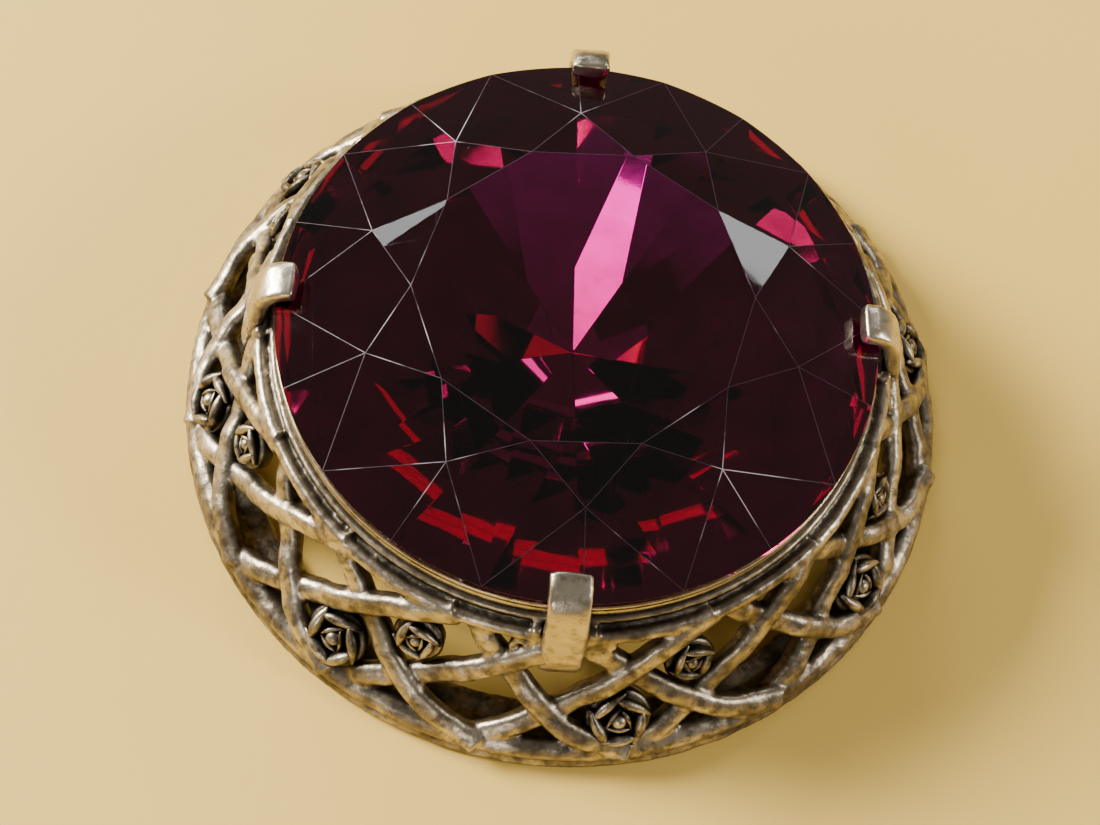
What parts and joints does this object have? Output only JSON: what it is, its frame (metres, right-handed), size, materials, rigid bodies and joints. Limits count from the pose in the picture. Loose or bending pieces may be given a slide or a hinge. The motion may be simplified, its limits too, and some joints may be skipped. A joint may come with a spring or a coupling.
{
  "type": "brooch",
  "caption": "Round openwork brooch: a large faceted purple glass stone held by claws in a domed, antiqued silver-tone frame, with a pin and rotating safety catch on the back.",
  "frame": {"origin": "centre of the foot ring, on the plane it rests on", "axes": "+Z out of the front towards the stone, +X along the pin from its hinge to its catch, +Y towards the top as worn"},
  "size_m": [0.0438, 0.0438, 0.0124],
  "materials": {
    "antiqued_silver": "cast, blackened in the recesses and rubbed bright on the edges",
    "bright_silver": "worn silver tone, lightly pitted",
    "purple_glass": "faceted and polished",
    "finding_steel": "plated wire and strip, satin"
  },
  "bodies": {
    "brooch": {"openwork_frame": "antiqued_silver", "stone_seat": "bright_silver", "stone": "purple_glass", "prong_right": "bright_silver", "prong_back": "bright_silver", "prong_left": "bright_silver", "prong_front": "bright_silver", "pin_bar": "finding_steel", "hinge_rivet": "finding_steel", "catch_hook": "finding_steel"},
    "pin": {"pin_stem": "finding_steel"},
    "lock": {"catch_lock": "finding_steel"}
  },
  "joints": [
    {"name": "pin_hinge", "type": "hinge", "parent": "brooch", "child": "pin", "pos_m": [-0.0116, 0.008, 0.0019], "axis": [0, 1, 0], "range_deg": [0, 100]},
    {"name": "catch_turn", "type": "hinge", "parent": "brooch", "child": "lock", "pos_m": [0.0112, 0.008, 0.0019], "axis": [1, 0, 0], "range_deg": [0, 90]}
  ]
}
